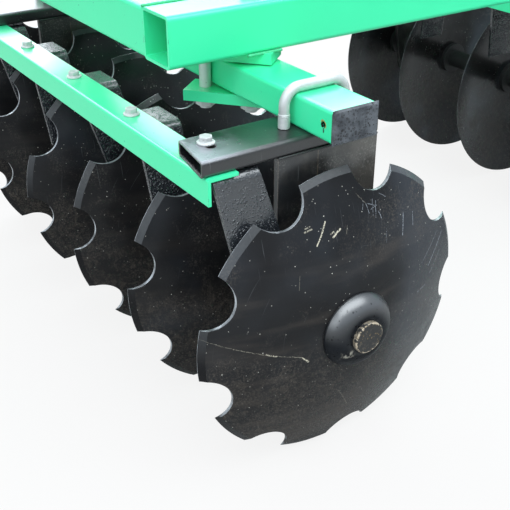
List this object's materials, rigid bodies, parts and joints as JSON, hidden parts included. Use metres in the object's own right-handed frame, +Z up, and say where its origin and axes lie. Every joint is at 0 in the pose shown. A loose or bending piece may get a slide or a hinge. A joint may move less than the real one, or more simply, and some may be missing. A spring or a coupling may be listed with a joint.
{
  "type": "disc harrow",
  "caption": "Mounted offset disc harrow: two swinging gangs of dished discs, notched behind and plain in front, with scrapers, under a tube frame with a hitch mast.",
  "frame": {"origin": "on the ground, under the middle of the machine's box", "axes": "+X to the machine's right along the gang axles, +Y forward in the direction of travel, towards the hitch, +Z up"},
  "size_m": [1.418, 1.7949, 1.067],
  "materials": {
    "green_paint": "gloss spring-green enamel",
    "black_paint": "satin black paint",
    "disc_paint": "satin-gloss black paint with dust and bare ground edges",
    "cast_black": "black-painted casting",
    "zinc_plate": "pale zinc plate",
    "black_plastic": "dusty pitted black plastic"
  },
  "bodies": {
    "frame": {"side_member_right": "green_paint", "side_member_left": "green_paint", "front_cross_member": "green_paint", "centre_cross_member": "green_paint", "rear_cross_member": "green_paint", "mast_ears": "green_paint", "mast_legs": "green_paint", "mast_braces": "green_paint", "brace_bolt": "zinc_plate", "link_brackets": "green_paint", "link_pins": "zinc_plate", "pivot_lugs": "green_paint", "pivot_bolts": "zinc_plate", "angle_plates": "green_paint"},
    "rear_gang": {"rear_beam": "green_paint", "rear_swing_fittings": "zinc_plate", "rear_beam_caps": "black_plastic", "rear_hanger_arms": "black_paint", "rear_hanger_plates": "black_paint", "rear_bearing_housings": "cast_black", "rear_u_bolts": "zinc_plate", "rear_scraper_bar": "green_paint", "rear_scrapers": "black_paint"},
    "rear_axle": {"rear_disc_1": "disc_paint", "rear_disc_2": "disc_paint", "rear_disc_3": "disc_paint", "rear_disc_4": "disc_paint", "rear_disc_5": "disc_paint", "rear_disc_6": "disc_paint", "rear_axle_shaft": "zinc_plate", "rear_spools": "cast_black", "rear_end_dome": "black_paint"},
    "front_gang": {"front_beam": "green_paint", "front_swing_fittings": "zinc_plate", "front_beam_caps": "black_plastic", "front_hanger_arms": "black_paint", "front_hanger_plates": "black_paint", "front_bearing_housings": "cast_black", "front_u_bolts": "zinc_plate", "front_scraper_bar": "green_paint", "front_scrapers": "black_paint"},
    "front_axle": {"front_disc_1": "disc_paint", "front_disc_2": "disc_paint", "front_disc_3": "disc_paint", "front_disc_4": "disc_paint", "front_disc_5": "disc_paint", "front_disc_6": "disc_paint", "front_axle_shaft": "zinc_plate", "front_spools": "cast_black", "front_end_dome": "black_paint"}
  },
  "joints": [
    {"name": "rear_gang_angle", "type": "hinge", "parent": "frame", "child": "rear_gang", "pos_m": [0.29, -0.6425, 0.586], "axis": [0, 0, -1], "range_deg": [0, 15]},
    {"name": "front_gang_angle", "type": "hinge", "parent": "frame", "child": "front_gang", "pos_m": [0.29, 0.5025, 0.586], "axis": [0, 0, 1], "range_deg": [0, 15]},
    {"name": "rear_axle_spin", "type": "hinge", "parent": "rear_gang", "child": "rear_axle", "pos_m": [0, -0.6425, 0.255], "axis": [-1, 0, 0], "continuous": true},
    {"name": "front_axle_spin", "type": "hinge", "parent": "front_gang", "child": "front_axle", "pos_m": [0, 0.5025, 0.255], "axis": [-1, 0, 0], "continuous": true}
  ]
}
